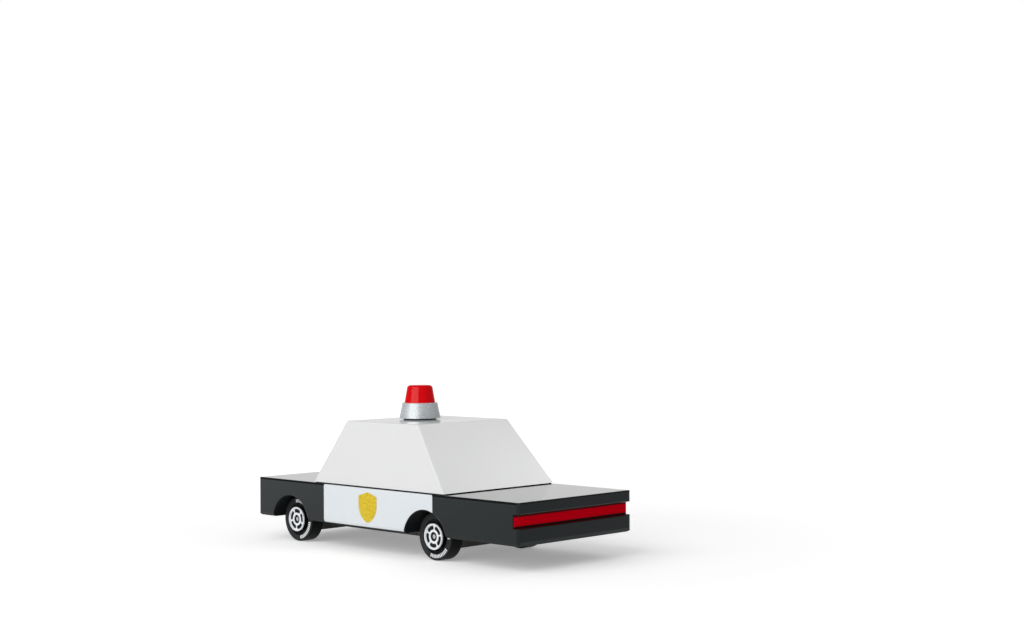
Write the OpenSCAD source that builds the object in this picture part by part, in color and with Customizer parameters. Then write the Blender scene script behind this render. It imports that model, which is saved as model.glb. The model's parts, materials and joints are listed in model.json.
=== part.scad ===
// Wooden toy police car on four rubber-tyred wheels.
// Frame: +X towards the nose, +Y to the left, +Z up, origin on the floor under the middle of the body.

/* [Body] */
// Length of the body block
body_length = 90.4; // [86:0.2:100]
// Width of the body block
body_w = 36.2; // [35.8:0.2:42]
// Height of the body block
body_h = 9.4; // [9:0.1:11]
// Height of the body's underside over the floor
ride_h = 5.8; // [5.6:0.1:6.4]
// Radius of the body's upright corners
corner_r = 0.7; // [0.3:0.05:0.9]
// Radius of the body's upper edges
edge_r = 0.45; // [0.2:0.05:0.5]
// Radius of the edges round the body's underside
low_edge_r = 1; // [0.4:0.05:1.2]

/* [Tail] */
// Height of the groove across the tail
groove_h = 2.9; // [2.6:0.1:3.4]
// Depth from the tail to the face of the red strip
groove_d = 1.4; // [0.8:0.05:2]
// Distance from the body's underside up to the groove
groove_up = 3.9; // [3:0.1:5]
// Radius of the edges along the groove
groove_lip_r = 0.3; // [0.2:0.05:0.4]
// Height of the red strip
strip_h = 2; // [1.6:0.05:2.1]
// Distance from the groove's lower wall up to the red strip
strip_up = 0.4; // [0.1:0.05:0.5]
// Distance from the body's side in to an end of the red strip
strip_in = 0.1; // [0:0.05:1]
// Thickness of the red strip
strip_t = 0.1; // [0.06:0.02:0.3]

/* [Nose] */
// Length of the recess across the nose
nose_slot_l = 24; // [18:1:30]
// Height of the recess across the nose
nose_slot_h = 2.8; // [2.4:0.1:3.4]
// Depth of the recess across the nose
nose_slot_d = 0.8; // [0.4:0.1:1.2]
// Distance from the body's underside up to the middle of the recess
nose_slot_up = 5.4; // [4.6:0.1:6]
// Radius of a headlight
lamp_r = 1.1; // [0.7:0.1:1.3]
// Distance from an end of the recess in to the middle of its headlight
lamp_in = 2.5; // [1.6:0.1:6]
// Length of a headlight, seat included
lamp_l = 2; // [1.2:0.1:3]
// How far a headlight stands out of the floor of its recess
lamp_out = 0.4; // [0.2:0.1:0.8]

/* [Cabin] */
// Length of the cabin at its base
cabin_l = 45.5; // [40:0.1:50]
// Distance from the body's side in to the foot of the cabin
cabin_side_in = 0.4; // [0.15:0.05:2]
// Height of the cabin
cabin_h = 14.75; // [12:0.05:18]
// Distance from the nose back to the cabin
cabin_back = 21.3; // [16:0.1:26]
// Length of the roof
roof_l = 25; // [20:0.1:32]
// Distance that each side of the cabin leans in up to the roof
side_run = 3.2; // [1:0.1:6]
// Distance from the foot of the windscreen back to the roof
windscreen_run = 8.6; // [6:0.1:12]
// Radius of the cabin's edges
cabin_r = 0.4; // [0.35:0.05:1]
// Height of the black pad that the cabin sits on, which leaves a dark joint line
pad_h = 0.2; // [0.1:0.02:0.4]
// Distance from the foot of the cabin in to the edge of the pad
pad_in = 0.35; // [0.2:0.05:1]
// Radius of a dowel
dowel_r = 2; // [1.5:0.1:2.5]
// Length of a dowel
dowel_l = 9; // [6:0.5:10]
// Distance between the two dowels
dowel_spacing = 24; // [16:1:30]

/* [Beacon] */
// Distance from the roof's front edge back to the beacon's axis
beacon_back = 9.85; // [8:0.05:14]
// Radius of the beacon's foot
foot_r = 3.9; // [3:0.1:4.2]
// Height of the beacon's foot
foot_h = 0.35; // [0.2:0.05:0.6]
// Radius of the base at its lower edge
base_r = 4.95; // [4.5:0.05:6]
// Radius of the base at its upper edge
base_top_r = 4.25; // [4:0.05:4.6]
// Height of the base
base_h = 3.65; // [3:0.05:5]
// Radius of the edge round the top of the base
base_edge_r = 0.2; // [0.1:0.05:0.3]
// Radius of the spigot that holds the base in the roof
spigot_r = 1.8; // [1.2:0.1:2.5]
// Depth of the spigot in the roof
spigot_l = 4; // [3:0.5:7]
// Radius of the red dome at its foot
dome_r = 3.7; // [3:0.05:3.8]
// Radius of the dome at its shoulder
dome_top_r = 3.12; // [2.6:0.02:3.3]
// Height of the dome
dome_h = 4.2; // [3.5:0.05:6]
// Radius of the dome's shoulder
dome_edge_r = 0.9; // [0.5:0.05:1.2]
// Radius of the stem that holds the dome in the base
stem_r = 1.2; // [0.8:0.1:1.6]
// Depth of the stem in the base
stem_l = 2; // [1:0.1:2.8]

/* [Doors] */
// Distance from the nose back to the door panel
door_back = 25.7; // [24:0.05:28]
// Length of the door panel
door_l = 38; // [36:0.1:42]
// Border of bare body over the door panel
door_top_border = 0.13; // [0.05:0.01:0.4]
// Border of bare body under the door panel
door_low_border = 0.34; // [0.2:0.01:0.6]
// Radius of the door panel's corners
door_r = 0.4; // [0.3:0.1:1]
// Thickness of the printed films
film_t = 0.1; // [0.06:0.01:0.2]
// Distance from the nose back to the middle of the shield
shield_back = 41.7; // [38:0.1:46]
// Width of the shield
shield_w = 6.3; // [5:0.1:7.5]
// Height of the shield from its tip to its peak
shield_h = 7.05; // [6:0.05:8]
// Height of the shield's straight sides
shield_side_h = 2; // [1:0.1:2.6]
// Height of the shield's peak over its shoulders
shield_peak_h = 0.95; // [0.4:0.05:1.4]
// Distance from the body's underside up to the shield's tip
shield_up = 1.35; // [0.8:0.05:1.6]

/* [Wheels] */
// Distance between the axles
wheelbase = 49.4; // [47:0.2:53]
// Distance from the nose back to the front axle
nose_overhang = 11.8; // [10:0.1:13]
// Outer radius of a tyre
tyre_r = 5.4; // [5.2:0.05:5.6]
// Width of a tyre
tyre_w = 3.55; // [2.8:0.05:3.8]
// Distance from the body's side in to a tyre's outer sidewall
wheel_inset = 3.05; // [2.4:0.05:4]
// Radius of a tyre's rounded shoulders
shoulder_r = 0.3; // [0.2:0.05:0.5]
// Radius of the rim that carries a tyre
rim_r = 3.75; // [3.5:0.05:4.1]
// Width of the lip round the rim
rim_lip_w = 0.35; // [0.25:0.05:0.5]
// How far the rim's lip lies inside the tyre's sidewall
rim_lip_in = 0.3; // [0.15:0.05:0.5]
// Depth of the rim's recess behind the tyre's sidewall
rim_recess_d = 0.95; // [0.7:0.05:1.4]
// Radius of the boss that carries the cap
boss_r = 2.75; // [2.6:0.05:2.85]
// How far the boss stands out past the tyre's sidewall
boss_out = 0.35; // [0.2:0.05:0.5]
// Radius of the boss that keeps the wheel off the chassis
spacer_r = 1.5; // [1.2:0.05:1.6]
// Radius of a wheel cap
cap_r = 2.95; // [2.9:0.05:3.2]
// Thickness of a wheel cap at its rim
cap_t = 0.35; // [0.2:0.05:0.4]
// Width of the rim round a cap
cap_rim_w = 0.3; // [0.2:0.05:0.4]
// Thickness of a cap's face inside its rim
cap_face_t = 0.12; // [0.1:0.01:0.18]
// Radius of the edge round the front of a cap
cap_edge_r = 0.1; // [0.05:0.01:0.15]
// Radius of the hole in the middle of a cap
cap_hole_r = 1.05; // [0.9:0.05:1.2]
// Number of slots in a cap
slot_n = 5; // [3:1:6]
// Radius of the circle that the slots follow
slot_ring_r = 2.02; // [1.9:0.02:2.1]
// Width of a slot
slot_w = 0.9; // [0.5:0.02:0.9]
// Radius of a slot's round ends
slot_end_r = 0.5; // [0.46:0.01:0.6]
// Angle that a slot spans between the centres of its ends
slot_span = 35; // [20:1:40]
// Turn of the front wheels' slots
front_turn = 49; // [0:1:71]
// Turn of the rear wheels' slots
rear_turn = 12; // [0:1:71]

/* [Axles and chassis] */
// Radius of a wheel well
arch_r = 7; // [6.95:0.05:7.6]
// Radius of the edge round a wheel well
arch_lip_r = 0.2; // [0.1:0.05:0.3]
// Distance from an axle down to the middle of its wheel well
arch_drop = 0.95; // [0.8:0.05:1.1]
// Distance from the front axle back to the middle of its wheel well
front_well_back = 0.75; // [0:0.05:0.8]
// Distance from the rear axle forward to the middle of its wheel well
rear_well_fore = 0.2; // [0:0.05:0.8]
// Radius of an axle
axle_r = 0.5; // [0.45:0.05:0.8]
// Running clearance of an axle in its chassis bore
axle_clear = 0.05; // [0.02:0.01:0.08]
// How far an axle's end stands out past the tyre's sidewall
axle_out = 0.3; // [0.2:0.05:0.5]
// Depth of the channel that takes the chassis in the body
channel_d = 1.5; // [1.4:0.1:2]
// Length of a chassis block along the car
block_l = 6; // [5:0.1:7]
// Height of a chassis block's underside over the floor
block_up = 2.6; // [2.4:0.1:3.2]
// Width of the keel between the blocks
keel_w = 16; // [12:0.5:18]
// Height of the keel's underside over the floor
keel_up = 3.7; // [3.4:0.1:4]
// Radius of a screw's head
screw_head_r = 1.5; // [1.2:0.1:2]
// Thickness of the rim round a screw's head
screw_rim_t = 0.15; // [0.1:0.05:0.3]
// Radius of a screw's shank
screw_r = 0.8; // [0.6:0.05:1]
// Length of a screw
screw_l = 6; // [5:0.5:6.5]
// Distance from an axle in to its nearest screw
screw_in = 9; // [6:0.5:10]

/* [Hidden] */
$fn = 64;
// Overrun of every cut past the face that it opens
over = 1;
// Clearance of pieces that are pressed or glued together
seat_gap = 0.02;
// Clearance of the chassis in its channel
channel_gap = 0.1;
// Running gap between the boss of a wheel and the end of its chassis block
side_gap = 0.25;
// Room between a tyre's inner sidewall and the inner wall of its well
well_gap = 0.7;
// Distance from the tyre's inner sidewall in to the hub's inner face
hub_inset = 0.2;
// Thickness of the thin discs at the corners of the cabin's foot
disc_t = 0.01;
// Width and depth of the cross cut in a screw's head
screw_cross_w = 0.4;
screw_cross_d = 0.5;
// Share of a dowel's radius that its end chamfers take
dowel_chamfer_share = 0.25;
// Facets round a rounded corner of the cabin
cabin_facets = 32;

body_top = ride_h + body_h;
cabin_z = body_top + pad_h;
roof_top = cabin_z + cabin_h;
nose_x = body_length / 2;
side_y = body_w / 2;
axle_z = tyre_r;
front_x = nose_x - nose_overhang;
rear_x = front_x - wheelbase;
axle_xs = [front_x, rear_x];
sidewall_y = side_y - wheel_inset;
tyre_in_y = sidewall_y - tyre_w;
well_y = tyre_in_y - well_gap;
block_y = well_y - side_gap;
arch_z = axle_z - arch_drop;
rear_well_x = rear_x + rear_well_fore;
well_xs = [front_x - front_well_back, rear_well_x];
chassis_top = ride_h + channel_d;
cabin_w = body_w - 2 * cabin_side_in;
cabin_front_x = nose_x - cabin_back;
roof_front_x = cabin_front_x - windscreen_run;
cabin_mid_x = cabin_front_x - cabin_l / 2;
beacon_x = roof_front_x - beacon_back;
base_z = roof_top + foot_h;
dome_z = base_z + base_h;
groove_z = ride_h + groove_up;
strip_x = groove_d - nose_x;
strip_l = body_w - 2 * strip_in;
nose_slot_z = ride_h + nose_slot_up;
nose_slot_x = nose_x - nose_slot_d;
lamp_y = nose_slot_l / 2 - lamp_in;
shield_x = nose_x - shield_back;
shield_z = ride_h + shield_up;
screw_xs = [front_x - screw_in, rear_x + screw_in];

// Rectangle about the origin with round corners
module rounded_rect(l, w, r) {
    square([l - 2 * r, w], center = true);
    square([l, w - 2 * r], center = true);
    for (x = [r - l / 2, l / 2 - r], y = [r - w / 2, w / 2 - r]) {
        translate([x, y]) circle(r);
    }
}

// Rectangle about the origin with half-round ends
module stadium(l, w) {
    square([l - w, w], center = true);
    for (side = [-1, 1]) {
        translate([side * (l - w) / 2, 0]) circle(w / 2);
    }
}

// Upright section of the body, this long, grown by a film's thickness
module body_section(l, grow) {
    half = l / 2 + grow;
    low_r = low_edge_r + grow;
    high_r = edge_r + grow;
    translate([-half, ride_h + low_edge_r]) square([2 * half, body_h - low_edge_r - edge_r]);
    translate([low_r - half, ride_h - grow]) square([2 * (half - low_r), low_r]);
    translate([high_r - half, body_top - edge_r]) square([2 * (half - high_r), high_r]);
    for (side = [-1, 1]) {
        translate([side * (half - low_r), ride_h + low_edge_r]) circle(low_r);
        translate([side * (half - high_r), body_top - edge_r]) circle(high_r);
    }
}

// The body's section across the car, run along its length
module body_run(grow) {
    rotate([90, 0, 90]) linear_extrude(body_length, center = true) body_section(body_w, grow);
}

// One wheel well about +Z, this deep, with a round edge where it opens
module well(depth) {
    rotate_extrude() {
        square([arch_r, depth]);
        translate([0, depth]) square([arch_r + arch_lip_r, over]);
        translate([arch_r, depth - arch_lip_r]) difference() {
            square(arch_lip_r);
            translate([arch_lip_r, 0]) circle(arch_lip_r);
        }
    }
}

// Upright plate, drawn in X and Z, whose inner face lies at y on the given side of the car
module side_plate(y, t, side) {
    translate([0, side > 0 ? y + t : -y, 0]) rotate([90, 0, 0]) linear_extrude(t) children();
}

// Places what is drawn about +Z on an axle, with +Z outwards and zero at the tyre's inner sidewall
module on_axle(x, side) {
    translate([x, side * tyre_in_y, axle_z]) rotate([-side * 90, 0, 0]) children();
}

// Outline of the chassis from above, grown by a clearance; the cross blocks reach out to block_end
module chassis_outline(gap, block_end) {
    translate([rear_x - block_l / 2 - gap, -keel_w / 2 - gap]) {
        square([wheelbase + block_l + 2 * gap, keel_w + 2 * gap]);
    }
    for (x = axle_xs) {
        translate([x, 0]) square([block_l + 2 * gap, 2 * block_end], center = true);
    }
}

// Section of the tail groove in X and Z, with round lips
module groove_outline() {
    translate([-nose_x - over, groove_z]) square([groove_d + strip_t + over, groove_h]);
    for (up = [0, 1]) {
        translate([-nose_x, groove_z + up * groove_h]) mirror([0, 1 - up]) difference() {
            translate([-over, 0]) square([groove_lip_r + over, groove_lip_r]);
            translate([groove_lip_r, groove_lip_r]) circle(groove_lip_r);
        }
    }
}

module body_block() color("#222426") {
    difference() {
        union() {
            intersection() {
                body_run(0);
                rotate([90, 0, 0]) linear_extrude(body_w, center = true) body_section(body_length, 0);
                translate([0, 0, ride_h]) linear_extrude(body_h) rounded_rect(body_length, body_w, corner_r);
            }
            // Pad that the cabin sits on
            translate([cabin_mid_x, 0, cabin_z - over]) linear_extrude(over) {
                square([cabin_l - 2 * pad_in, cabin_w - 2 * pad_in], center = true);
            }
        }
        // Wheel wells, drilled in from both sides
        for (x = well_xs, side = [-1, 1]) {
            translate([x, side * well_y, arch_z]) rotate([-side * 90, 0, 0]) well(side_y - well_y);
        }
        // Groove across the tail, with the seat of the red strip
        translate([0, side_y + over, 0]) rotate([90, 0, 0]) {
            linear_extrude(body_w + 2 * over) groove_outline();
        }
        // Blind recess across the nose, with the seats of the headlights
        translate([nose_slot_x, 0, nose_slot_z]) rotate([90, 0, 90]) {
            linear_extrude(nose_slot_d + over) stadium(nose_slot_l, nose_slot_h);
        }
        for (side = [-1, 1]) headlight_at(side, seat_gap);
        // Channel that takes the chassis, open to the wells
        translate([0, 0, ride_h - over]) linear_extrude(channel_d + over) {
            chassis_outline(channel_gap, well_y + over);
        }
        for (x = screw_xs) screw_at(x, seat_gap, over);
        dowels(seat_gap);
    }
}

module cabin() color("#eceded") {
    tail_run = cabin_l - windscreen_run - roof_l;
    roof_front = -windscreen_run - roof_inset(windscreen_run);
    roof_rear = -windscreen_run - roof_l + roof_inset(tail_run);
    difference() {
        translate([cabin_front_x, 0, cabin_z]) hull() {
            $fn = cabin_facets;
            for (side = [-1, 1]) {
                foot_y = side * (cabin_w / 2 - cabin_r);
                for (x = [-cabin_r, cabin_r - cabin_l]) {
                    translate([x, foot_y, 0]) cylinder(r = cabin_r, h = disc_t);
                }
                roof_y = side * (cabin_w / 2 - side_run - roof_inset(side_run));
                for (x = [roof_front, roof_rear]) {
                    translate([x, roof_y, cabin_h - cabin_r]) sphere(cabin_r);
                }
            }
        }
        dowels(seat_gap);
        translate([beacon_x, 0, roof_top - spigot_l - seat_gap]) {
            cylinder(r = spigot_r + seat_gap, h = spigot_l + seat_gap + over);
        }
    }
}

// Distance from a sharp roof edge in to the middle of its rounding, for a face of this run
function roof_inset(run) = cabin_r * (sqrt(run * run + cabin_h * cabin_h) - run) / cabin_h;

// The two dowels, grown by a clearance
module dowels(gap) {
    chamfer = dowel_r * dowel_chamfer_share;
    for (side = [-1, 1]) {
        translate([cabin_mid_x + side * dowel_spacing / 2, 0, cabin_z]) rotate_extrude() {
            polygon([[0, -dowel_l / 2 - gap], [dowel_r - chamfer + gap, -dowel_l / 2 - gap],
                [dowel_r + gap, chamfer - dowel_l / 2], [dowel_r + gap, dowel_l / 2 - chamfer],
                [dowel_r - chamfer + gap, dowel_l / 2 + gap], [0, dowel_l / 2 + gap]]);
        }
    }
}

module cabin_dowels() color("#c9a26b") dowels(0);

module beacon_foot() color("#151515") {
    translate([beacon_x, 0, roof_top]) difference() {
        cylinder(r = foot_r, h = foot_h);
        translate([0, 0, -over]) cylinder(r = spigot_r + seat_gap, h = foot_h + 2 * over);
    }
}

// Tapered wall that ends in a quarter round under a flat top, turned about +Z
module tapered_turning(low_r, high_r, h, round_r) {
    rotate_extrude() {
        polygon([[0, 0], [low_r, 0], [high_r, h - round_r], [0, h - round_r]]);
        square([high_r - round_r, h]);
        translate([high_r - round_r, h - round_r]) intersection() {
            circle(round_r);
            square(round_r);
        }
    }
}

module beacon_base() color("#b9bcbe") {
    translate([beacon_x, 0, base_z]) {
        difference() {
            tapered_turning(base_r, base_top_r, base_h, base_edge_r);
            translate([0, 0, base_h - stem_l - seat_gap]) {
                cylinder(r = stem_r + seat_gap, h = stem_l + seat_gap + over);
            }
        }
        translate([0, 0, -foot_h - spigot_l]) cylinder(r = spigot_r, h = foot_h + spigot_l);
    }
}

module beacon_dome() color("#c8000e") {
    translate([beacon_x, 0, dome_z]) {
        tapered_turning(dome_r, dome_top_r, dome_h, dome_edge_r);
        translate([0, 0, -stem_l]) cylinder(r = stem_r, h = stem_l);
    }
}

module tail_light_strip() color("#a00010") {
    translate([strip_x, -strip_l / 2, groove_z + strip_up]) cube([strip_t, strip_l, strip_h]);
}

// One headlight, grown by a clearance
module headlight_at(side, gap) {
    translate([nose_slot_x + lamp_out - lamp_l - gap, side * lamp_y, nose_slot_z]) {
        rotate([0, 90, 0]) cylinder(r = lamp_r + gap, h = lamp_l + gap);
    }
}

module headlight(side) color("#f2f1ea") headlight_at(side, 0);

module door_outline() {
    door_h = body_h - door_low_border - door_top_border;
    difference() {
        translate([nose_x - door_back - door_l / 2, ride_h + door_low_border + door_h / 2]) {
            rounded_rect(door_l, door_h, door_r);
        }
        translate([rear_well_x, arch_z]) circle(arch_r + arch_lip_r);
    }
}

// Film laid on the body's side, bent over the round edges above and below it
module door_panel(side) color("#e3e8ec") difference() {
    intersection() {
        body_run(film_t);
        side_plate(side_y - low_edge_r, low_edge_r + film_t, side) door_outline();
    }
    body_run(0);
}

// Heater shield: a low peak, straight sides and two arcs that meet in a tip
module shield_outline() {
    half = shield_w / 2;
    shoulder = shield_h - shield_peak_h;
    arc_h = shoulder - shield_side_h;
    arc_r = (half * half + arc_h * arc_h) / shield_w;
    polygon([[-half, arc_h], [half, arc_h], [half, shoulder], [0, shield_h], [-half, shoulder]]);
    intersection() {
        translate([-half, 0]) square([shield_w, arc_h]);
        translate([half - arc_r, arc_h]) circle(arc_r);
        translate([arc_r - half, arc_h]) circle(arc_r);
    }
}

module shield(side) color("#d3b02f") {
    side_plate(side_y + film_t, film_t, side) translate([shield_x, shield_z]) shield_outline();
}

module chassis() color("#1b1c1d") {
    difference() {
        union() {
            translate([0, 0, keel_up]) linear_extrude(chassis_top - keel_up) chassis_outline(0, block_y);
            for (x = axle_xs) {
                translate([x - block_l / 2, -block_y, block_up]) {
                    cube([block_l, 2 * block_y, chassis_top - block_up]);
                }
            }
        }
        for (x = axle_xs) {
            translate([x, block_y + over, axle_z]) rotate([90, 0, 0]) {
                cylinder(r = axle_r + axle_clear, h = 2 * (block_y + over));
            }
        }
        for (x = screw_xs) screw_at(x, seat_gap, over);
    }
}

// One countersunk screw, driven up through the keel, grown by a clearance and run out below its head
module screw_at(x, gap, runout) {
    neck_z = screw_rim_t + screw_head_r - screw_r;
    translate([x, 0, keel_up]) rotate_extrude() {
        polygon([[0, -runout], [screw_head_r + gap, -runout], [screw_head_r + gap, screw_rim_t],
            [screw_r + gap, neck_z], [screw_r + gap, screw_l - screw_r], [0, screw_l + gap]]);
    }
}

module chassis_screws() color("#8d9092") {
    for (x = screw_xs) {
        difference() {
            screw_at(x, 0, 0);
            for (turn = [0, 90]) {
                translate([x, 0, keel_up]) rotate(turn) {
                    cube([2 * screw_r, screw_cross_w, 2 * screw_cross_d], center = true);
                }
            }
        }
    }
}

module axle(x) color("#c4c6c8") {
    half = sidewall_y + axle_out;
    translate([x, half, axle_z]) rotate([90, 0, 0]) cylinder(r = axle_r, h = 2 * half);
}

module tyre(x, side) color("#26282a") on_axle(x, side) rotate_extrude() {
    bore_r = rim_r + seat_gap;
    translate([(tyre_r + bore_r) / 2, tyre_w / 2]) rounded_rect(tyre_r - bore_r, tyre_w, shoulder_r);
    translate([bore_r, 0]) square([shoulder_r, tyre_w - shoulder_r]);
}

module hub(x, side) color("#17181a") on_axle(x, side) difference() {
    rotate_extrude() {
        lip_r = rim_r - rim_lip_w;
        spacer_z = block_y + side_gap - tyre_in_y;
        polygon([[0, spacer_z], [spacer_r, spacer_z], [spacer_r, hub_inset], [rim_r, hub_inset],
            [rim_r, tyre_w - rim_lip_in], [lip_r, tyre_w - rim_lip_in], [lip_r, tyre_w - rim_recess_d],
            [boss_r, tyre_w - rim_recess_d], [boss_r, tyre_w + boss_out], [0, tyre_w + boss_out]]);
    }
    translate([0, 0, -well_gap - over]) cylinder(r = axle_r + seat_gap, h = tyre_w + well_gap + 2 * over);
}

// Slots along a circle, as many as a cap has, with round ends
module cap_slots(turn) {
    half = slot_span / 2;
    intersection() {
        difference() {
            circle(slot_ring_r + slot_w / 2);
            circle(slot_ring_r - slot_w / 2);
        }
        for (i = [0 : slot_n - 1]) rotate(turn + i * 360 / slot_n) {
            polygon([[0, 0], for (a = [-half, half]) 2 * slot_ring_r * [cos(a), sin(a)]]);
            for (a = [-half, half]) {
                rotate(a) translate([slot_ring_r, 0]) circle(slot_end_r);
            }
        }
    }
}

module cap(x, side, turn) color("#eef1f4") on_axle(x, side) translate([0, 0, tyre_w + boss_out]) {
    difference() {
        tapered_turning(cap_r, cap_r, cap_t, cap_edge_r);
        translate([0, 0, cap_face_t]) cylinder(r = cap_r - cap_rim_w, h = cap_t + over);
        translate([0, 0, -over]) {
            cylinder(r = cap_hole_r, h = cap_t + 2 * over);
            linear_extrude(cap_t + 2 * over) cap_slots(turn);
        }
    }
}

body_block();
cabin();
cabin_dowels();
beacon_foot();
beacon_base();
beacon_dome();
tail_light_strip();
headlight(1);  // headlight_left
headlight(-1);  // headlight_right
door_panel(1);  // door_panel_left
door_panel(-1);  // door_panel_right
shield(1);  // shield_left
shield(-1);  // shield_right
chassis();
chassis_screws();
axle(front_x);  // front_axle
axle(rear_x);  // rear_axle
tyre(front_x, 1);  // tyre_front_left
hub(front_x, 1);  // hub_front_left
cap(front_x, 1, front_turn);  // cap_front_left
tyre(front_x, -1);  // tyre_front_right
hub(front_x, -1);  // hub_front_right
cap(front_x, -1, front_turn);  // cap_front_right
tyre(rear_x, 1);  // tyre_rear_left
hub(rear_x, 1);  // hub_rear_left
cap(rear_x, 1, rear_turn);  // cap_rear_left
tyre(rear_x, -1);  // tyre_rear_right
hub(rear_x, -1);  // hub_rear_right
cap(rear_x, -1, rear_turn);  // cap_rear_right
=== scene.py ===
"""Looks of the wooden toy police car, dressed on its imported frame. Lengths are in metres."""
import json
import math

import bmesh
import bpy
from mathutils import Matrix, Vector


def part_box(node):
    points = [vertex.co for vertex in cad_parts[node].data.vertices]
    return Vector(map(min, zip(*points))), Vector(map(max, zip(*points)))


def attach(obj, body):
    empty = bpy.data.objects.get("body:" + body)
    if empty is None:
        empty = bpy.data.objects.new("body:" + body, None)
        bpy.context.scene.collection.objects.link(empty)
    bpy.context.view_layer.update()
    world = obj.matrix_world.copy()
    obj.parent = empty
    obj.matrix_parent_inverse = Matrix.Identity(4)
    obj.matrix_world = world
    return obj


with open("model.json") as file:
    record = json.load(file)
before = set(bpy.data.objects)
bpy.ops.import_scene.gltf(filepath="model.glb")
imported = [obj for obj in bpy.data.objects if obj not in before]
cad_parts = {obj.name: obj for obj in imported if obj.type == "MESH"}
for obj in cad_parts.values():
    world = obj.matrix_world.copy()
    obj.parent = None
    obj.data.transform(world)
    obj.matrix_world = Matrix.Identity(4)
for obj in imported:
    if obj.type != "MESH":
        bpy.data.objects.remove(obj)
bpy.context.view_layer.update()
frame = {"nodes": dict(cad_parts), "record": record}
MM = 0.001

SIDES = {"left": 1, "right": -1}
ENDS = ("front", "rear")

# The photograph's camera, in the car's frame
IMAGE_WIDTH = 1024
FOCAL_PIXELS = 1643.26
SENSOR_WIDTH = 36.0
CAMERA_PLACE = Vector((-0.2871, 0.26392, 0.05339))
CAMERA_AZIMUTH = math.radians(224.72)
CAMERA_ELEVATION = math.radians(-0.05)
CAMERA_ROLL = math.radians(-0.38)
CLIP_START = 10 * MM

# The wheel wells and the underside, which are duller than the rest of the body
WELL_XS = (32.65 * MM, -15.8 * MM)
WELL_Z = 4.45 * MM
WELL_R = 7.02 * MM
WELL_BLUR = 0.1 * MM
UNDER_Z = (6.0 * MM, 6.7 * MM)
DULL_ROUGH = 0.6

# The walls of the tail groove, coloured dark red as painted shade that the red strip tints
GROOVE_X = (-44.85 * MM, -43.5 * MM)
GROOVE_Z = (9.6 * MM, 12.7 * MM)
GROOVE_BLUR = 0.08 * MM
# Painted shade: the dark red colour given to the groove's walls
GROOVE_PAINTED_SHADE = (0.030, 0.0012, 0.0012)

# The parts of a noise's range over which a look runs from one end to the other
WHOLE = (0.0, 1.0)
MIDDLE = (0.3, 0.7)
NARROW = (0.35, 0.65)

# How noise is scaled along the axes: evenly, or drawn out along one of them
EVEN = (1, 1, 1)
ALONG_X = (0.05, 1, 1)
ALONG_Y = (1, 0.05, 1)
ALONG_Z = (1, 1, 0.08)

# Lacquer over wood
PEEL_SIZE = 0.9 * MM
PEEL_DEPTH = 0.0006 * MM
GRAIN_SIZE = 0.55 * MM
GRAIN_DEPTH = 0.0006 * MM
LACQUER_CLOUD = 9 * MM
LACQUER_SPREAD = 0.2

# Plastic and rubber
PLASTIC_IOR = 1.48
PLASTIC_CLOUD = 3 * MM
PLASTIC_SPREAD = 0.15
TYRE_GLOSS = 0.1
TYRE_ROUGH = (0.36, 0.48)
TYRE_TEXTURE = 0.2 * MM
TYRE_DEPTH = 0.004 * MM
# How far a tyre's surface turns sideways before the tread's painted shade gives way to the
# sidewall colour
WALL_FACING = (0.5, 0.95)


# Node helpers

def feed(tree, socket, value):
    """Links an input to a socket, or sets it to a value."""
    if isinstance(value, bpy.types.NodeSocket):
        tree.links.new(value, socket)
    else:
        socket.default_value = value


def wire(tree, node, **inputs):
    """Feeds a node's inputs by name, with underscores for the spaces."""
    for name, value in inputs.items():
        feed(tree, node.inputs[name.replace("_", " ")], value)


def add_node(tree, kind, settings=None, **inputs):
    """A shader node with its settings and its inputs."""
    made = tree.nodes.new(kind)
    for name, value in (settings or {}).items():
        setattr(made, name, value)
    wire(tree, made, **inputs)
    return made


def ramp(tree, factor, low, high):
    """A colour that runs from low to high with the factor; each is a colour or a socket."""
    made = add_node(tree, "ShaderNodeMix", {"data_type": "RGBA"})
    feed(tree, made.inputs["Factor"], factor)
    for name, value in (("A", low), ("B", high)):
        feed(tree, made.inputs[name], (*value, 1) if isinstance(value, tuple) else value)
    return made.outputs["Result"]


def blend(tree, factor, low, high):
    """A number that runs from low to high with the factor; each is a value or a socket."""
    made = add_node(tree, "ShaderNodeMix", {"data_type": "FLOAT"})
    for name, value in (("Factor", factor), ("A", low), ("B", high)):
        feed(tree, next(i for i in made.inputs if i.name == name and i.type == "VALUE"), value)
    return made.outputs["Result"]


def span(tree, factor, low, high, start=0.0, end=1.0):
    """A number that runs from low to high while the factor runs from start to end."""
    made = add_node(tree, "ShaderNodeMapRange", Value=factor,
                    From_Min=start, From_Max=end, To_Min=low, To_Max=high)
    return made.outputs["Result"]


def combine(tree, operation, *factors):
    """What an operation of two numbers makes of some factors, one after the other."""
    total = factors[0]
    for factor in factors[1:]:
        made = add_node(tree, "ShaderNodeMath", {"operation": operation})
        tree.links.new(total, made.inputs[0])
        tree.links.new(factor, made.inputs[1])
        total = made.outputs[0]
    return total


def noise(tree, size, detail=3.0, stretch=EVEN):
    """Noise fixed to the object, whose lumps have about this size."""
    place = add_node(tree, "ShaderNodeTexCoord").outputs["Object"]
    scaled = add_node(tree, "ShaderNodeMapping", Vector=place, Scale=[s / size for s in stretch])
    made = add_node(tree, "ShaderNodeTexNoise", Vector=scaled.outputs["Vector"],
                    Scale=1.0, Detail=detail)
    return made.outputs["Fac"]


def bump(tree, height, depth, normal=None):
    """A normal roughened by the height, which is this deep."""
    made = add_node(tree, "ShaderNodeBump", Height=height, Distance=depth, Strength=1.0)
    if normal:
        tree.links.new(normal, made.inputs["Normal"])
    return made.outputs["Normal"]


def new_material(name, **inputs):
    """A material, its nodes and its Principled shader, whose inputs are set."""
    made = bpy.data.materials.new(name)
    made.use_nodes = True
    tree = made.node_tree
    shader = tree.nodes["Principled BSDF"]
    wire(tree, shader, **inputs)
    return made, tree, shader


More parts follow.
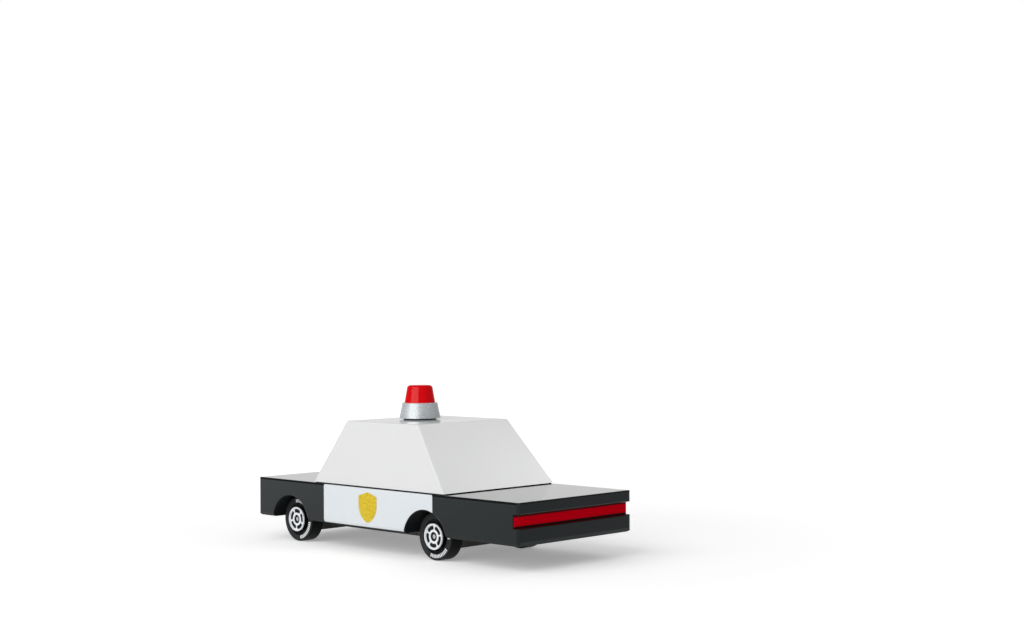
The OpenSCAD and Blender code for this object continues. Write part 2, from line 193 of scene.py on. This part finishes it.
def bare_material(name):
    """A material without a shader, its nodes and the input for its surface."""
    made = bpy.data.materials.new(name)
    made.use_nodes = True
    tree = made.node_tree
    tree.nodes.clear()
    return made, tree, tree.nodes.new("ShaderNodeOutputMaterial").inputs["Surface"]


# Materials

def lacquer(name, low, high, rough, **inputs):
    """Lacquer over wood: orange peel, grain that just shows, and a slightly uneven gloss."""
    made, tree, shader = new_material(name, **inputs)
    peel = noise(tree, PEEL_SIZE, detail=2.0)
    grain = noise(tree, GRAIN_SIZE, detail=4.0, stretch=ALONG_X)
    cloud = noise(tree, LACQUER_CLOUD, detail=2.0)
    smooth, dull = rough * (1 - LACQUER_SPREAD), rough * (1 + LACQUER_SPREAD)
    wire(tree, shader,
         Base_Color=ramp(tree, cloud, low, high),
         Roughness=span(tree, cloud, smooth, dull, *MIDDLE),
         Normal=bump(tree, peel, PEEL_DEPTH, bump(tree, grain, GRAIN_DEPTH)))
    return made


def hidden_places(tree):
    """One inside the wheel wells and on the underside, and zero on the rest of the body."""
    place = add_node(tree, "ShaderNodeTexCoord").outputs["Object"]
    flat = add_node(tree, "ShaderNodeMapping", Vector=place, Scale=(1, 0, 1)).outputs["Vector"]
    height = add_node(tree, "ShaderNodeSeparateXYZ", Vector=place).outputs["Z"]
    factors = [span(tree, height, 1, 0, *UNDER_Z)]
    for x in WELL_XS:
        reach = add_node(tree, "ShaderNodeVectorMath", {"operation": "DISTANCE"})
        tree.links.new(flat, reach.inputs[0])
        reach.inputs[1].default_value = (x, 0, WELL_Z)
        factors.append(span(tree, reach.outputs["Value"], 1, 0, WELL_R, WELL_R + WELL_BLUR))
    return combine(tree, "MAXIMUM", *factors)


def groove_inside(tree):
    """One on the walls of the tail groove, and zero on the rest of the body."""
    place = add_node(tree, "ShaderNodeTexCoord").outputs["Object"]
    axes = add_node(tree, "ShaderNodeSeparateXYZ", Vector=place).outputs
    factors = []
    for axis, (low, high) in (("X", GROOVE_X), ("Z", GROOVE_Z)):
        factors.append(span(tree, axes[axis], 0, 1, low - GROOVE_BLUR, low))
        factors.append(span(tree, axes[axis], 1, 0, high, high + GROOVE_BLUR))
    return combine(tree, "MINIMUM", *factors)


def body_lacquer(name, **inputs):
    """Lacquer that is thin and dull in the wells and underneath, with a painted dark red shade
    in the tail groove.
    """
    made = lacquer(name, **inputs)
    tree = made.node_tree
    shader = tree.nodes["Principled BSDF"]
    colour, rough = (shader.inputs[i].links[0].from_socket for i in ("Base Color", "Roughness"))
    # The groove's walls get a painted dark red shade, and they lose their gloss like the hidden
    # places
    painted_shade = groove_inside(tree)
    dull = combine(tree, "MAXIMUM", hidden_places(tree), painted_shade)
    wire(tree, shader,
         Base_Color=ramp(tree, painted_shade, colour, GROOVE_PAINTED_SHADE),
         Roughness=blend(tree, dull, rough, DULL_ROUGH),
         Coat_Weight=blend(tree, dull, 1.0, 0.0))
    return made


def plastic(name, low, high, rough, texture, depth, gloss=0.5):
    """Moulded plastic or print with a fine texture and faint clouds in its colour."""
    made, tree, shader = new_material(name, IOR=PLASTIC_IOR, Specular_IOR_Level=gloss)
    cloud = noise(tree, PLASTIC_CLOUD)
    smooth, dull = rough * (1 - PLASTIC_SPREAD), rough * (1 + PLASTIC_SPREAD)
    wire(tree, shader,
         Base_Color=ramp(tree, cloud, low, high),
         Roughness=span(tree, cloud, smooth, dull, *MIDDLE),
         Normal=bump(tree, noise(tree, texture), depth))
    return made


def tyre_rubber(name, painted_shade_tread, wall):
    """Rubber whose tread is painted darker than its sidewalls, as painted shade on the tread."""
    made, tree, shader = new_material(name, IOR=PLASTIC_IOR, Specular_IOR_Level=TYRE_GLOSS)
    # Faces that don't point sideways get the tread's painted shade
    way = add_node(tree, "ShaderNodeTexCoord").outputs["Normal"]
    across = add_node(tree, "ShaderNodeSeparateXYZ", Vector=way).outputs["Y"]
    size = add_node(tree, "ShaderNodeMath", {"operation": "ABSOLUTE"})
    tree.links.new(across, size.inputs[0])
    sideways = span(tree, size.outputs[0], 0, 1, *WALL_FACING)
    wire(tree, shader,
         Base_Color=ramp(tree, sideways, painted_shade_tread, wall),
         Roughness=span(tree, noise(tree, PLASTIC_CLOUD), *TYRE_ROUGH, *MIDDLE),
         Normal=bump(tree, noise(tree, TYRE_TEXTURE), TYRE_DEPTH))
    return made


def grained(name, low, high, rough, size, depth, detail=3.0, stretch=EVEN,
            colour_range=WHOLE, rough_range=WHOLE, **inputs):
    """A material whose colour, roughness and relief all follow one grain."""
    made, tree, shader = new_material(name, **inputs)
    grain = noise(tree, size, detail, stretch)
    wire(tree, shader,
         Base_Color=ramp(tree, span(tree, grain, 0, 1, *colour_range), low, high),
         Roughness=span(tree, grain, *rough, *rough_range),
         Normal=bump(tree, grain, depth))
    return made


def grey(value):
    """The same value for red, green and blue."""
    return (value, value, value)


MATERIALS = {
    "black_lacquer": body_lacquer(
        "black_lacquer", low=(0.0046, 0.0060, 0.0066), high=(0.0062, 0.0078, 0.0086), rough=0.07,
        IOR=1.22, Coat_IOR=1.22, Coat_Roughness=0.05, Specular_Tint=(0.76, 0.98, 1.0, 1.0)),
    "white_lacquer": lacquer(
        "white_lacquer", low=(0.785, 0.790, 0.788), high=(0.810, 0.813, 0.812), rough=0.07,
        IOR=1.5, Specular_IOR_Level=0.42),
    "bare_wood": grained(
        "bare_wood", low=(0.42, 0.27, 0.13), high=(0.66, 0.48, 0.28), rough=(0.5, 0.7),
        size=0.5 * MM, depth=0.02 * MM, detail=5.0, stretch=ALONG_Z),
    "black_foot": plastic(
        "black_foot", low=grey(0.006), high=grey(0.010), rough=0.5,
        texture=0.2 * MM, depth=0.003 * MM),
    "silver": grained(
        "silver_paint", low=(0.55, 0.59, 0.62), high=(0.85, 0.88, 0.90), rough=(0.30, 0.44),
        size=0.22 * MM, depth=0.006 * MM, colour_range=NARROW, rough_range=MIDDLE, Metallic=0.4),
    "red_lamp": plastic(
        "red_lamp", low=(0.71, 0.0001, 0.003), high=(0.76, 0.0002, 0.004), rough=0.12,
        texture=1.2 * MM, depth=0.001 * MM, gloss=0.28),
    "red_strip": plastic(
        "red_strip", low=(0.65, 0.0001, 0.009), high=(0.70, 0.0002, 0.011), rough=0.45,
        texture=0.3 * MM, depth=0.002 * MM, gloss=0.0),
    "lamp_white": plastic(
        "lamp_white", low=(0.80, 0.79, 0.74), high=(0.86, 0.85, 0.80), rough=0.2,
        texture=0.8 * MM, depth=0.001 * MM),
    "white_film": plastic(
        "white_film", low=(0.735, 0.775, 0.805), high=(0.765, 0.80, 0.83), rough=0.35,
        texture=0.3 * MM, depth=0.0012 * MM, gloss=0.3),
    "gold_film": grained(
        "gold_print", low=(0.62, 0.44, 0.020), high=(0.84, 0.63, 0.042), rough=(0.42, 0.58),
        size=0.35 * MM, depth=0.002 * MM, detail=4.0, colour_range=NARROW, rough_range=MIDDLE,
        Metallic=0.25, Specular_IOR_Level=0.2),
    "black_plastic": plastic(
        "black_plastic", low=grey(0.005), high=grey(0.008), rough=0.5,
        texture=0.25 * MM, depth=0.004 * MM, gloss=0.15),
    "chassis_grey": plastic(
        "chassis_grey", low=(0.085, 0.081, 0.076), high=(0.115, 0.110, 0.103), rough=0.5,
        texture=0.3 * MM, depth=0.004 * MM, gloss=0.2),
    "steel": grained(
        "drawn_steel", low=(0.50, 0.50, 0.51), high=(0.62, 0.62, 0.63), rough=(0.24, 0.40),
        size=0.12 * MM, depth=0.002 * MM, stretch=ALONG_Y, Metallic=1.0),
    # The tread colour is painted shade, far darker than the sidewall's
    "tyre": tyre_rubber(
        "tyre_rubber", painted_shade_tread=(0.0040, 0.0045, 0.0045), wall=(0.0260, 0.0288, 0.0298)),
    "white_plastic": plastic(
        "white_plastic", low=(0.86, 0.89, 0.92), high=(0.90, 0.93, 0.96), rough=0.25,
        texture=0.8 * MM, depth=0.001 * MM),
    "tyre_print": plastic(
        "tyre_print", low=(0.88, 0.90, 0.92), high=(0.92, 0.94, 0.96), rough=0.5,
        texture=0.2 * MM, depth=0.002 * MM),
}

# Nodes that don't look like the rest of their slot
OWN_MATERIAL = {"chassis": "chassis_grey"}


def dress_frame():
    """Gives every node of the frame the material of its slot, or its own."""
    for part in frame["record"]["subparts"]:
        node = part["node"]
        mesh = frame["nodes"][node].data
        mesh.materials.clear()
        mesh.materials.append(MATERIALS[OWN_MATERIAL.get(node, part["material_slot"])])


# White ticks printed round the tyres, in arcs given by their middle and their length

TICK_INNER_R = 4.05 * MM
TICK_OUTER_R = 4.82 * MM
TICK_STEP = math.radians(6.4)
TICK_SHARE = 0.62
TICK_PROUD = 0.02 * MM
TICK_SEGMENTS = 4
TICK_ARCS = ((math.radians(0), math.radians(80)), (math.radians(-107), math.radians(80)))
TICK_TURN = {"front": math.radians(65.5), "rear": math.radians(36)}


def tick_angles(turn):
    """Start angles of the ticks, in the two arcs that a tyre carries."""
    angles = []
    for middle, length in TICK_ARCS:
        count = round(length / TICK_STEP)
        first = turn + middle - count * TICK_STEP / 2
        angles += [first + i * TICK_STEP for i in range(count)]
    return angles


def tick_rows(shape, start, centre, wall, sign):
    """The four long edges of one tick: inner low and high, then outer low and high."""
    rows = []
    for radius in (TICK_INNER_R, TICK_OUTER_R):
        for lift in (0, TICK_PROUD):
            row = []
            for i in range(TICK_SEGMENTS + 1):
                angle = start + TICK_STEP * TICK_SHARE * i / TICK_SEGMENTS
                x = centre.x - radius * math.cos(angle)
                z = centre.z + radius * math.sin(angle)
                row.append(shape.verts.new((x, wall + sign * lift, z)))
            rows.append(row)
    return rows


def tyre_ticks(end, side):
    """The printed ticks of one tyre, as thin plates on its outer sidewall."""
    low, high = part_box(f"tyre_{end}_{side}")
    centre = (low + high) / 2
    sign = SIDES[side]
    wall = high.y if sign > 0 else low.y
    shape = bmesh.new()
    for start in tick_angles(TICK_TURN[end]):
        low_in, high_in, low_out, high_out = tick_rows(shape, start, centre, wall, sign)
        strips = ((high_in, high_out), (low_out, low_in), (low_in, high_in), (high_out, low_out))
        for a, b in strips:
            for i in range(TICK_SEGMENTS):
                shape.faces.new((a[i], a[i + 1], b[i + 1], b[i]))
        for i in (0, TICK_SEGMENTS):
            shape.faces.new((low_in[i], high_in[i], high_out[i], low_out[i]))
    bmesh.ops.recalc_face_normals(shape, faces=shape.faces)
    mesh = bpy.data.meshes.new(f"tyre_ticks_{end}_{side}")
    shape.to_mesh(mesh)
    shape.free()
    mesh.materials.append(MATERIALS["tyre_print"])
    piece = bpy.data.objects.new(mesh.name, mesh)
    bpy.context.scene.collection.objects.link(piece)
    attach(piece, f"{end}_wheelset")


# Stage, light and camera

FLOOR_SIZE = (12.0, 12.0)
FLOOR_ALBEDO = 0.95
FLOOR_GLOW = (0.285, 0.64)
FLOOR_FADE = (0.08, 0.34)
SKY_LIGHT = 0.47
ROOM_LIGHT = 0.12
BACKDROP_LIGHT = 0.78
BACKDROP_SIDE = Vector((0.704, -0.71, 0))
BACKDROP_FACING = (0.7, 0.94)
BACKDROP_TOP = (0.25, 0.6)
KEY_PLACE = Vector((-0.06, 1.20, 0.84))
KEY_SIZE = (1.68, 1.20)
KEY_POWER = 13.8
FILL_PLACE = Vector((-0.072, -0.016, 0.021))
FILL_SIZE = (0.06, 0.01)
FILL_POWER = 0.0146
FLAG_PLACE = Vector((-0.070, -0.025, 0.018))
FLAG_TARGET = Vector((0, -0.025, 0.018))
FLAG_SIZE = (0.066, 0.036)
FLAG_GREY = 0.62


def card(name, size, material):
    """A flat card of this width and height about the origin."""
    x, y = size[0] / 2, size[1] / 2
    mesh = bpy.data.meshes.new(name)
    mesh.from_pydata([(-x, -y, 0), (x, -y, 0), (x, y, 0), (-x, y, 0)], [], [(0, 1, 2, 3)])
    mesh.materials.append(material)
    made = bpy.data.objects.new(name, mesh)
    bpy.context.scene.collection.objects.link(made)
    return made


def make_floor():
    """A pale floor that keeps the shadows and fades to white around the car."""
    paper, tree, surface = bare_material("floor_paper")
    place = add_node(tree, "ShaderNodeNewGeometry").outputs["Position"]
    reach = add_node(tree, "ShaderNodeVectorMath", {"operation": "LENGTH"})
    tree.links.new(place, reach.inputs[0])
    level = span(tree, reach.outputs["Value"], *FLOOR_GLOW, *FLOOR_FADE)
    path = add_node(tree, "ShaderNodeLightPath").outputs
    seen = combine(tree, "MAXIMUM", path["Is Camera Ray"], path["Is Glossy Ray"],
                   path["Is Transmission Ray"])
    diffuse = add_node(tree, "ShaderNodeBsdfDiffuse", Color=(*grey(FLOOR_ALBEDO), 1))
    glow = add_node(tree, "ShaderNodeEmission", Strength=blend(tree, seen, 0.0, level))
    total = tree.nodes.new("ShaderNodeAddShader")
    tree.links.new(diffuse.outputs[0], total.inputs[0])
    tree.links.new(glow.outputs[0], total.inputs[1])
    tree.links.new(total.outputs[0], surface)
    floor = card("floor", FLOOR_SIZE, paper)


def make_world():
    """Even white light; mirrors show a white backdrop, low on one side of a dim room."""
    world = bpy.data.worlds.new("studio")
    world.use_nodes = True
    tree = world.node_tree
    way = add_node(tree, "ShaderNodeTexCoord").outputs["Generated"]
    facing = add_node(tree, "ShaderNodeVectorMath", {"operation": "DOT_PRODUCT"})
    tree.links.new(way, facing.inputs[0])
    facing.inputs[1].default_value = BACKDROP_SIDE
    height = add_node(tree, "ShaderNodeSeparateXYZ", Vector=way).outputs["Z"]
    backdrop = combine(tree, "MULTIPLY",
                       span(tree, facing.outputs["Value"], 0, 1, *BACKDROP_FACING),
                       span(tree, height, 1, 0, *BACKDROP_TOP))
    mirrored = blend(tree, backdrop, ROOM_LIGHT, BACKDROP_LIGHT)
    path = add_node(tree, "ShaderNodeLightPath").outputs
    seen = combine(tree, "MAXIMUM", path["Is Camera Ray"], path["Is Transmission Ray"])
    level = blend(tree, seen, blend(tree, path["Is Glossy Ray"], SKY_LIGHT, mirrored), 1.0)
    wire(tree, tree.nodes["Background"], Strength=level, Color=(1, 1, 1, 1))
    world.cycles.sampling_method = "NONE"
    bpy.context.scene.world = world


def make_flag():
    """A grey card behind the tail that only mirrors show."""
    cloth, tree, surface = bare_material("flag_cloth")
    glow = add_node(tree, "ShaderNodeEmission", Strength=FLAG_GREY)
    tree.links.new(glow.outputs[0], surface)
    flag = card("flag", FLAG_SIZE, cloth)
    flag.location = FLAG_PLACE
    flag.rotation_euler = (FLAG_TARGET - FLAG_PLACE).to_track_quat("Z", "Y").to_euler()
    flag.visible_camera = flag.visible_transmission = False
    flag.visible_diffuse = flag.visible_shadow = False


def softbox(name, place, size, power, mirrored=True, only=None):
    """A lamp of this width and height that faces the car.

    Mirrors show it or not, and it lights everything or one node only.
    """
    lamp = bpy.data.lights.new(name, "AREA")
    lamp.shape = "RECTANGLE"
    lamp.size, lamp.size_y = size
    lamp.energy = power
    holder = bpy.data.objects.new(name, lamp)
    holder.location = place
    holder.rotation_euler = (-place).to_track_quat("-Z", "Y").to_euler()
    holder.visible_glossy = mirrored
    if only:
        lit = bpy.data.collections.new(f"{name}_lit")
        lit.objects.link(frame["nodes"][only])
        holder.light_linking.receiver_collection = lit
    bpy.context.scene.collection.objects.link(holder)


def make_camera():
    """The photograph's camera."""
    flat = math.cos(CAMERA_ELEVATION)
    back = Vector((math.sin(CAMERA_AZIMUTH) * flat, -math.cos(CAMERA_AZIMUTH) * flat,
                   math.sin(CAMERA_ELEVATION)))
    level = Vector((math.cos(CAMERA_AZIMUTH), math.sin(CAMERA_AZIMUTH), 0))
    right = Matrix.Rotation(CAMERA_ROLL, 3, back) @ level
    turn = Matrix((right, back.cross(right), back)).transposed()
    lens = bpy.data.cameras.new("camera")
    lens.sensor_width = SENSOR_WIDTH
    lens.lens = FOCAL_PIXELS / IMAGE_WIDTH * SENSOR_WIDTH
    lens.clip_start = CLIP_START
    camera = bpy.data.objects.new("camera", lens)
    camera.matrix_world = Matrix.Translation(CAMERA_PLACE) @ turn.to_4x4()
    bpy.context.scene.collection.objects.link(camera)
    bpy.context.scene.camera = camera


make_camera()
dress_frame()
for end in ENDS:
    for side in SIDES:
        tyre_ticks(end, side)
make_floor()
make_world()
make_flag()
softbox("key", KEY_PLACE, KEY_SIZE, KEY_POWER)
softbox("fill", FILL_PLACE, FILL_SIZE, FILL_POWER, mirrored=False, only="cabin")
bpy.context.scene.view_settings.view_transform = "Standard"
